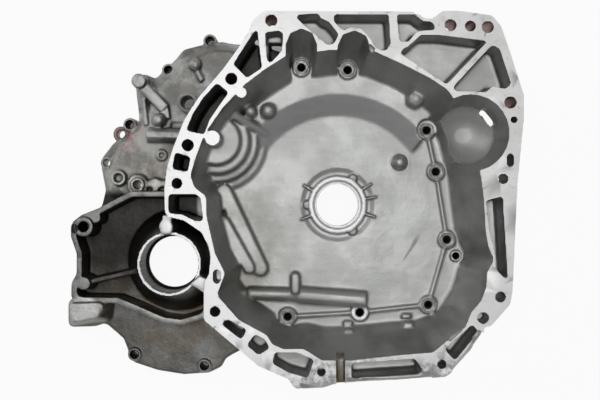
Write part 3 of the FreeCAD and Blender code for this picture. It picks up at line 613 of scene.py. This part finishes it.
def joined(piece, bm):
    """Adds a bmesh's closed forms to a piece's mesh."""
    whole = bmesh.new()
    whole.from_mesh(piece.data)
    extra = bpy.data.meshes.new("extra")
    bm.to_mesh(extra)
    bm.free()
    whole.from_mesh(extra)
    whole.to_mesh(piece.data)
    whole.free()
    bpy.data.meshes.remove(extra)


# Round places of the casting that keep their form while the rest is softened: centre and reach
DETAILS = [(0.0, 0.0, 0.062), (DIFF_CENTRE[0], DIFF_CENTRE[1], 0.039), (*SMALL_BOSS, 0.010),
           (*SPOT_FACE, 0.014)]
DETAILS += [(x, y, 0.014) for x, y in FLOOR_BOSSES + LEDGE_BOSSES]
DETAILS += [(place[0] * MM, place[1] * MM, (outer + 2.0) * MM) for place, outer, *rest in CAST_RINGS]
# Bolt holes, in millimetres
BOLT_HOLES = ((-76, 203), (-120, 139), (187, 113), (-168, 66), (176, -101), (-138, -117), (-180, 24),
              (143, 197), (121, 198), (162, 196), (157, -124), (111.5, -175), (-21, -183.5), (191, 94),
              (179, 29), (187, 50), (-136, -78), (-155, 201), (-206, 165), (-253, 98), (-240, 24),
              (-312, -28), (-248, -184), (-162, -198), (-265.5, 87))
BOLT_REACH = 10.5 * MM
DETAILS += [(x * MM, y * MM, BOLT_REACH) for x, y in BOLT_HOLES]
# The rib that runs from boss to boss on the bell's floor, and half of its width
RIB_LINE = FLOOR_BOSSES[:4] + (SPOT_FACE, FLOOR_BOSSES[4])
RIB_REACH = 6.0 * MM
# Places that stay sharp: reach in plan and heights on the ring's seat and on the hub
RING_CRISP = (38.0 * MM, 39.0 * MM, 43.0 * MM)
HUB_CRISP = (35.5 * MM, -1.0 * MM, 3.6 * MM)
# The case lies left of and below these
CASE_X = -0.15
CASE_Z = 0.02
# Shares of the softening near details and on the case
DETAIL_SHARE = 0.22
CASE_SHARE = 0.45


def within(x, y, z, centre, reach, low, high):
    """Whether a point lies in an upright round space."""
    return math.hypot(x - centre[0], y - centre[1]) < reach and low < z < high


def softness(x, y, z, crisp):
    """Share of the edge rounding that a point of the skin gets."""
    if FLANGE_Z - z < crisp or z - GEARCASE_Z < crisp:
        return 0.0
    if within(x, y, z, (0.0, 0.0), *HUB_CRISP) or within(x, y, z, DIFF_CENTRE, *RING_CRISP):
        return 0.0
    for centre_x, centre_y, reach in DETAILS:
        if abs(x - centre_x) < reach and math.hypot(x - centre_x, y - centre_y) < reach:
            return DETAIL_SHARE
    for start, end in zip(RIB_LINE, RIB_LINE[1:]):
        if from_line(x, y, start, end) < RIB_REACH:
            return DETAIL_SHARE
    if x < CASE_X and z < CASE_Z:
        return CASE_SHARE
    return 1.0


def from_line(x, y, start, end):
    """Distance in plan from a straight stretch."""
    run = Vector(end) - Vector(start)
    share = (Vector((x, y)) - Vector(start)).dot(run) / run.length_squared
    return (Vector((x, y)) - Vector(start) - run * min(max(share, 0.0), 1.0)).length


def mark_cast(piece, crisp):
    """Vertex group of how far smoothing may round each place."""
    group = piece.vertex_groups.new(name="cast")
    steps = {}
    for vertex in piece.data.vertices:
        steps.setdefault(softness(*vertex.co, crisp), []).append(vertex.index)
    for share, places in steps.items():
        group.add(places, share, "REPLACE")


def sink_seats(bm):
    """Sinks the bolt seats of the bell's bosses a little below their rims."""
    for places, top in ((FLOOR_BOSSES, 4.0 * MM), (LEDGE_BOSSES, 18.0 * MM)):
        for x, y in places:
            for vertex in bm.verts:
                reach = math.hypot(vertex.co.x - x, vertex.co.y - y)
                if reach < SEAT_REACH and abs(vertex.co.z - top) < SEAT_BAND:
                    vertex.co.z -= SEAT_SUNK


def shape_cup(bm):
    """Rounds the starter pocket into a bowl, and the pin boss into a cone with a small top."""
    for vertex in bm.verts:
        x, y, z = vertex.co
        reach = math.hypot(x - STARTER_CUP[0], y - STARTER_CUP[1])
        if reach < CUP_SHAPED and z > 15 * MM:
            bowl = FLANGE_Z - CUP_DEPTH * math.sqrt(1 - (reach / CUP_RADIUS) ** 2)
            vertex.co.z = max(z, bowl - 1 * MM)
        reach = math.hypot(x - PIN_BOSS[0], y - PIN_BOSS[1])
        if reach < PIN_REACH and z > -2 * MM:
            slope = (reach - PIN_TOP_RADIUS) / (PIN_FOOT_RADIUS - PIN_TOP_RADIUS)
            vertex.co.z = PIN_HEIGHT * (1 - min(max(slope, 0.0), 1.0))


def flatten_machined(bm):
    """Sets the skin's milled faces back into their true planes."""
    for vertex in bm.verts:
        for plane in (FLANGE_Z, GEARCASE_Z):
            if abs(vertex.co.z - plane) < PLANE_BAND:
                vertex.co.z = plane


def keep_in_box(piece):
    """Brings back what thinning moved a hair outside the frame's box."""
    low, high = CAD_BOX
    for vertex in piece.data.vertices:
        for axis in range(3):
            vertex.co[axis] = min(max(vertex.co[axis], low[axis]), high[axis])


# The angle that stays a sharp edge
SHARP_FROM = math.radians(40.0)
# Share of the way to its neighbours' middle that each pass moves a point
PASS_SHARE = 0.5


class HOUSING_OT_casting(bpy.types.Operator):
    """The whole casting with rounded edges and its finishes"""

    bl_idname = "housing.casting"
    bl_label = "Casting"

    def execute(self, context):
        sizes = context.scene.housing_sizes
        piece = new_piece("housing_casting", working_copy(NODE))
        opened(piece)
        joined(piece, cast_forms())
        skin = piece.modifiers.new("skin", "REMESH")
        skin.mode = "VOXEL"
        skin.voxel_size = sizes.voxel * 1.0
        baked(piece)
        mark_cast(piece, sizes.crisp_band)
        soften = piece.modifiers.new("soften", "SMOOTH")
        soften.factor = PASS_SHARE
        soften.vertex_group = "cast"
        soften.iterations = sizes.smoothing
        baked(piece)
        bm = bmesh.new()
        bm.from_mesh(piece.data)
        sink_seats(bm)
        shape_cup(bm)
        flatten_machined(bm)
        bm.to_mesh(piece.data)
        bm.free()
        count = sum(len(face.vertices) - 2 for face in piece.data.polygons)
        thin = piece.modifiers.new("thin", "DECIMATE")
        thin.ratio = min(1.0, sizes.triangles / count)
        baked(piece)
        keep_in_box(piece)
        piece.data.polygons.foreach_set("use_smooth", [True] * len(piece.data.polygons))
        piece.data.set_sharp_from_angle(angle=SHARP_FROM)
        piece.data.materials.clear()
        piece.data.materials.append(cast_and_machined())
        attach(piece, BODY)
        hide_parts(NODE)
        return {"FINISHED"}


# Pale floor and the backdrop that stands round it, in metres
FLOOR_REACH = 3.0
WALL_REACH = 2.9
WALL_HEIGHT = 1.0
# Strength of white that the camera and reflections see
FLOOR_WHITE = 0.93
# Reach round both bores in which the floor shows
BORE_FLOOR = (55.0 * MM, 70.0 * MM)
# Round places under the part that stay dark, in metres: place, outer and inner reach
UNDER_PART = ((0.012, 0.0, 0.192, 0.186), (-0.099, 0.203, 0.018, 0.015), (-0.074, 0.192, 0.022, 0.019))
# Lamps: name, place, size and power
LAMPS = (("ceiling", (-0.05, 0.15, 1.9), 1.1, 10.5), ("side", (-1.5, 0.9, 1.0), 0.9, 5.0))
# Camera's sensor in millimetres, and the sky
SENSOR_WIDTH = 36.0
SKY_TINT = (0.42, 0.43, 0.45, 1.0)
SKY_STRENGTH = 0.55


class HOUSING_OT_stage(bpy.types.Operator):
    """Pale floor and backdrop, soft light and the camera above the engine flange"""

    bl_idname = "housing.stage"
    bl_label = "Stage"

    def execute(self, context):
        self.floor(context)
        self.world(context)
        for name, place, size, power in LAMPS:
            self.lamp(name, place, size, power)
        self.camera(context)
        return {"FINISHED"}

    def floor(self, context):
        """Floor and round backdrop, one stage object."""
        bm = bmesh.new()
        bmesh.ops.create_grid(bm, x_segments=1, y_segments=1, size=FLOOR_REACH,
                              matrix=Matrix.Translation((0, 0, GEARCASE_Z)))
        bmesh.ops.create_cone(bm, cap_ends=False, segments=64, radius1=WALL_REACH, radius2=WALL_REACH,
                              depth=WALL_HEIGHT,
                              matrix=Matrix.Translation((0, 0, GEARCASE_Z + WALL_HEIGHT / 2)))
        floor = new_piece("floor", bm)
        floor.data.materials.append(self.pale(context))

    def pale(self, context):
        """Floor that the camera and reflections see as white, but not through the part's small holes."""
        n = Nodes("pale_floor")
        n.shader.inputs["Base Color"].default_value = context.scene.housing_colours.floor
        n.shader.inputs["Roughness"].default_value = 0.9
        rays = n.tree.nodes.new("ShaderNodeLightPath").outputs
        path = n.either(rays["Is Camera Ray"], rays["Is Glossy Ray"], rays["Is Transmission Ray"])
        glow = n.tree.nodes.new("ShaderNodeEmission")
        under = n.either(*[n.ramp(n.radius(x, y), outer, inner) for x, y, outer, inner in UNDER_PART],
                         *[n.ramp(n.radius(x * MM, y * MM), 8 * MM, 7 * MM) for x, y in DARK_HOLES])
        near, far = BORE_FLOOR
        bores = n.either(n.ramp(n.radius(0.0, 0.0), far, near),
                         n.ramp(n.radius(DIFF_CENTRE[0], DIFF_CENTRE[1]), far, near))
        hidden = n.both(under, n.math("SUBTRACT", 1.0, bores))
        share = n.both(path, n.between(hidden, FLOOR_WHITE, 0.0))
        mix = n.tree.nodes.new("ShaderNodeMixShader")
        n.link(share, mix.inputs[0])
        n.link(n.shader.outputs[0], mix.inputs[1])
        n.link(glow.outputs[0], mix.inputs[2])
        n.link(mix.outputs[0], n.tree.nodes["Material Output"].inputs["Surface"])
        return n.material

    def world(self, context):
        """Plain grey sky."""
        world = bpy.data.worlds.new("studio")
        context.scene.world = world
        world.use_nodes = True
        back = world.node_tree.nodes["Background"]
        back.inputs["Color"].default_value = SKY_TINT
        back.inputs["Strength"].default_value = SKY_STRENGTH

    def lamp(self, name, place, size, power):
        """Round soft lamp that looks at the origin."""
        light = bpy.data.lights.new(name, "AREA")
        light.shape = "DISK"
        light.size = size
        light.energy = power
        lamp = bpy.data.objects.new(name, light)
        lamp.location = place
        direction = -Vector(place)
        lamp.rotation_euler = direction.to_track_quat("-Z", "Y").to_euler()
        bpy.context.collection.objects.link(lamp)

    def camera(self, context):
        """Camera that looks straight down at the engine flange."""
        sizes = context.scene.housing_sizes
        data = bpy.data.cameras.new("camera")
        data.sensor_width = SENSOR_WIDTH
        data.lens = data.sensor_width * sizes.camera_height / sizes.view_width
        camera = bpy.data.objects.new("camera", data)
        camera.location = (sizes.camera_x, sizes.camera_y, FLANGE_Z + sizes.camera_height)
        bpy.context.collection.objects.link(camera)
        context.scene.camera = camera
        context.scene.view_settings.view_transform = "Standard"


class HOUSING_PT_panel(bpy.types.Panel):
    """Lists the housing's sizes, colours and steps"""

    bl_idname = "HOUSING_PT_panel"
    bl_label = "Converter housing"
    bl_space_type = "VIEW_3D"
    bl_region_type = "UI"
    bl_category = "Housing"

    def draw(self, context):
        for group in (context.scene.housing_sizes, context.scene.housing_colours):
            for name in group.__annotations__:
                self.layout.prop(group, name)
        for operator in OPERATORS:
            self.layout.operator(operator.bl_idname)


OPERATORS = (HOUSING_OT_stage, HOUSING_OT_casting)
CLASSES = (HousingSizes, HousingColours) + OPERATORS + (HOUSING_PT_panel,)


def register():
    """Registers the classes and hangs the settings on the scene."""
    for item in CLASSES:
        bpy.utils.register_class(item)
    bpy.types.Scene.housing_sizes = bpy.props.PointerProperty(type=HousingSizes)
    bpy.types.Scene.housing_colours = bpy.props.PointerProperty(type=HousingColours)


def unregister():
    """Takes the settings and classes away again."""
    del bpy.types.Scene.housing_colours
    del bpy.types.Scene.housing_sizes
    for item in reversed(CLASSES):
        bpy.utils.unregister_class(item)


def main():
    """Registers the classes, then builds the stage and the casting."""
    register()
    bpy.ops.housing.stage()
    bpy.ops.housing.casting()


if __name__ == "__main__":
    main()
